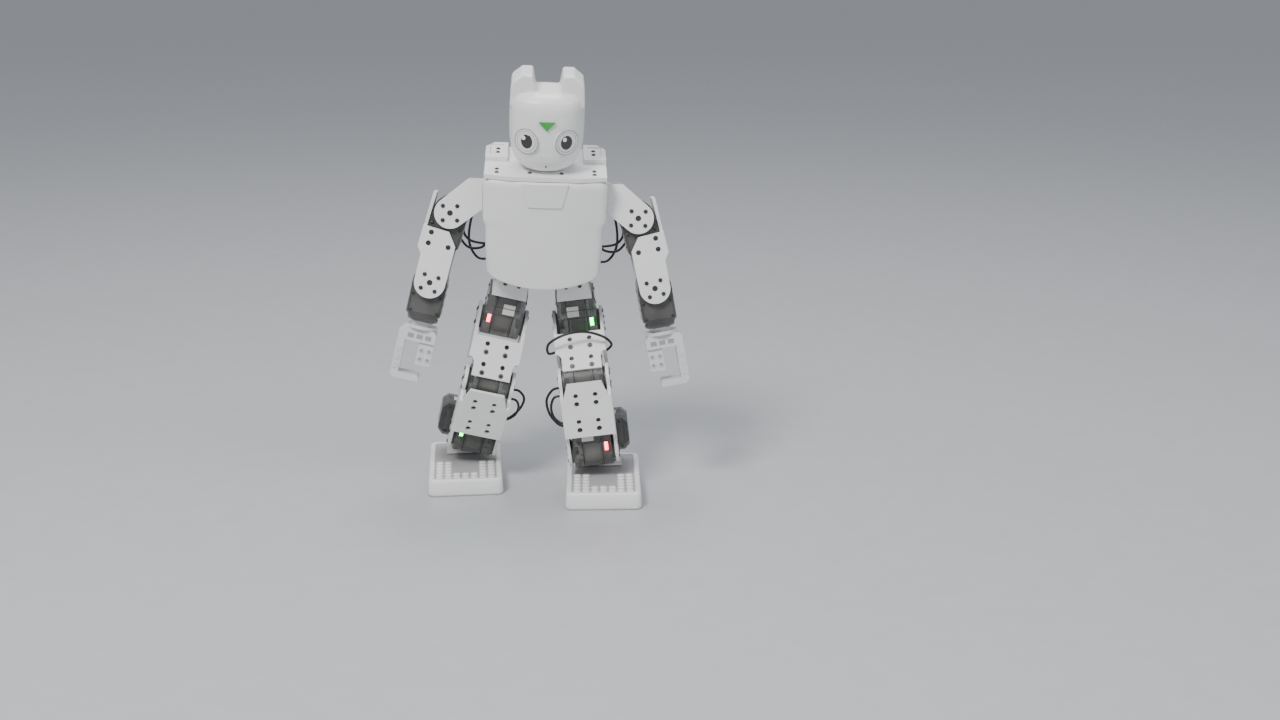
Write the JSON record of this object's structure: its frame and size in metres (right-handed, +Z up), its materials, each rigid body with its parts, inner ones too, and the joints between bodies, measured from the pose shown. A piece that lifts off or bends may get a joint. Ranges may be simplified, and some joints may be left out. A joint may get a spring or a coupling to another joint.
{
  "type": "toy robot",
  "caption": "Desk-top humanoid robot built from identical servo modules and white link brackets, with a box head, jointed arms and legs, hook hands and flat feet.",
  "frame": {"origin": "on the floor, under the middle of the standing robot's box", "axes": "+Z up; the robot faces -Y; its own left side is +X"},
  "size_m": [0.275, 0.165, 0.3976],
  "materials": {
    "white_shell": "satin moulded plastic",
    "white_bracket": "matt moulded plastic",
    "hand": "milky, slightly see-through",
    "foot": "matt moulded plastic",
    "servo_case": "smoky and partly see-through",
    "horn": "matt",
    "cable": "soft sheath",
    "eye": "glossy",
    "light": "glossy",
    "battery": "shrink sleeve",
    "board": "coated board",
    "button": "matt"
  },
  "bodies": {
    "torso": {"torso_frame": "white_bracket", "chest_cover": "white_shell", "back_cover": "white_shell", "top_deck": "white_shell", "battery_pack": "battery", "controller_board": "board", "shoulder_servos": "servo_case", "hip_roll_servos": "servo_case", "power_button": "button", "face_shell": "white_shell", "rear_head_shell": "white_shell", "eyes": "eye", "forehead_light": "light", "right_torso_cables": "cable", "left_torso_cables": "cable"},
    "right_shoulder": {"right_shoulder_bracket": "white_bracket", "right_shoulder_horns": "horn"},
    "right_upper_arm": {"right_upper_arm_servo": "servo_case", "right_upper_arm_bracket": "white_bracket", "right_elbow_horns": "horn"},
    "right_forearm": {"right_forearm_servo": "servo_case", "right_wrist_flange": "white_bracket", "right_hand": "hand"},
    "right_hip": {"right_hip_bracket": "white_bracket", "right_hip_horns": "horn", "right_hip_servo": "servo_case"},
    "right_thigh": {"right_thigh_bracket": "white_bracket", "right_thigh_horns": "horn", "right_knee_servo": "servo_case"},
    "right_shin": {"right_shin_bracket": "white_bracket", "right_shin_horns": "horn", "right_shin_cables": "cable"},
    "right_ankle": {"right_ankle_servo": "servo_case", "right_ankle_roll_servo": "servo_case"},
    "right_foot": {"right_foot_bracket": "white_bracket", "right_foot_horn": "horn", "right_foot": "foot"},
    "left_shoulder": {"left_shoulder_bracket": "white_bracket", "left_shoulder_horns": "horn"},
    "left_upper_arm": {"left_upper_arm_servo": "servo_case", "left_upper_arm_bracket": "white_bracket", "left_elbow_horns": "horn"},
    "left_forearm": {"left_forearm_servo": "servo_case", "left_wrist_flange": "white_bracket", "left_hand": "hand"},
    "left_hip": {"left_hip_bracket": "white_bracket", "left_hip_horns": "horn", "left_hip_servo": "servo_case"},
    "left_thigh": {"left_thigh_bracket": "white_bracket", "left_thigh_horns": "horn", "left_knee_servo": "servo_case", "left_thigh_cable": "cable"},
    "left_shin": {"left_shin_bracket": "white_bracket", "left_shin_horns": "horn", "left_shin_cables": "cable"},
    "left_ankle": {"left_ankle_servo": "servo_case", "left_ankle_roll_servo": "servo_case"},
    "left_foot": {"left_foot_bracket": "white_bracket", "left_foot_horn": "horn", "left_foot": "foot"}
  },
  "joints": [
    {"name": "right_shoulder_pitch", "type": "hinge", "parent": "torso", "child": "right_shoulder", "pos_m": [-0.04886, -0.01263, 0.27993], "axis": [-0.9992, 0, 0.0401], "range_deg": [-79, 131], "deforming": ["right_torso_cables"]},
    {"name": "right_shoulder_roll", "type": "hinge", "parent": "right_shoulder", "child": "right_upper_arm", "pos_m": [-0.07797, -0.01458, 0.26521], "axis": [-0.0049, 0.9925, -0.1218], "range_deg": [-10.3, 74.7]},
    {"name": "right_elbow", "type": "hinge", "parent": "right_upper_arm", "child": "right_forearm", "pos_m": [-0.09761, -0.02222, 0.20372], "axis": [-0.0049, 0.9925, -0.1218], "range_deg": [-21.4, 78.6]},
    {"name": "right_hip_roll", "type": "hinge", "parent": "torso", "child": "right_hip", "pos_m": [-0.02271, 0.00234, 0.2084], "axis": [0.0083, 0.9781, 0.2077], "range_deg": [-10, 8]},
    {"name": "right_hip_pitch", "type": "hinge", "parent": "right_hip", "child": "right_thigh", "pos_m": [-0.03612, 0.01342, 0.15675], "axis": [0.9692, 0.0432, -0.2425], "range_deg": [-60, 50]},
    {"name": "right_knee", "type": "hinge", "parent": "right_thigh", "child": "right_shin", "pos_m": [-0.04916, -0.00535, 0.10128], "axis": [0.9692, 0.0432, -0.2425], "range_deg": [-39.86, 50.14], "deforming": ["right_shin_cables"]},
    {"name": "right_ankle_pitch", "type": "hinge", "parent": "right_shin", "child": "right_ankle", "pos_m": [-0.06556, 0.01966, 0.04021], "axis": [0.9692, 0.0432, -0.2425], "range_deg": [-27.77, 28.23]},
    {"name": "right_ankle_roll", "type": "hinge", "parent": "right_ankle", "child": "right_foot", "pos_m": [-0.06386, 0.01974, 0.047], "axis": [0.0446, -0.999, 0], "range_deg": [-12, 8]},
    {"name": "left_shoulder_pitch", "type": "hinge", "parent": "torso", "child": "left_shoulder", "pos_m": [0.06205, -0.01263, 0.27548], "axis": [-0.9992, 0, 0.0401], "range_deg": [-79, 131], "deforming": ["left_torso_cables"]},
    {"name": "left_shoulder_roll", "type": "hinge", "parent": "left_shoulder", "child": "left_upper_arm", "pos_m": [0.08989, -0.01458, 0.25847], "axis": [0.0049, -0.9925, 0.1218], "range_deg": [-10.3, 74.7]},
    {"name": "left_elbow", "type": "hinge", "parent": "left_upper_arm", "child": "left_forearm", "pos_m": [0.10453, -0.02222, 0.1956], "axis": [0.0049, -0.9925, 0.1218], "range_deg": [-21.4, 78.6]},
    {"name": "left_hip_roll", "type": "hinge", "parent": "torso", "child": "left_hip", "pos_m": [0.03025, 0.00234, 0.20627], "axis": [-0.0083, -0.9781, -0.2077], "range_deg": [-7, 11]},
    {"name": "left_hip_pitch", "type": "hinge", "parent": "left_hip", "child": "left_thigh", "pos_m": [0.03665, 0.01353, 0.15332], "axis": [0.993, -0.0325, 0.1133], "range_deg": [-38, 72]},
    {"name": "left_knee", "type": "hinge", "parent": "left_thigh", "child": "left_shin", "pos_m": [0.0406, -0.02513, 0.10761], "axis": [0.993, -0.0325, 0.1133], "range_deg": [-40, 50], "deforming": ["left_shin_cables", "left_thigh_cable"]},
    {"name": "left_ankle_pitch", "type": "hinge", "parent": "left_shin", "child": "left_ankle", "pos_m": [0.0483, -0.0253, 0.04004], "axis": [0.993, -0.0325, 0.1133], "range_deg": [-49.93, 6.07]},
    {"name": "left_ankle_roll", "type": "hinge", "parent": "left_ankle", "child": "left_foot", "pos_m": [0.04751, -0.02527, 0.047], "axis": [0.0327, 0.9995, 0], "range_deg": [-12, 8]}
  ]
}
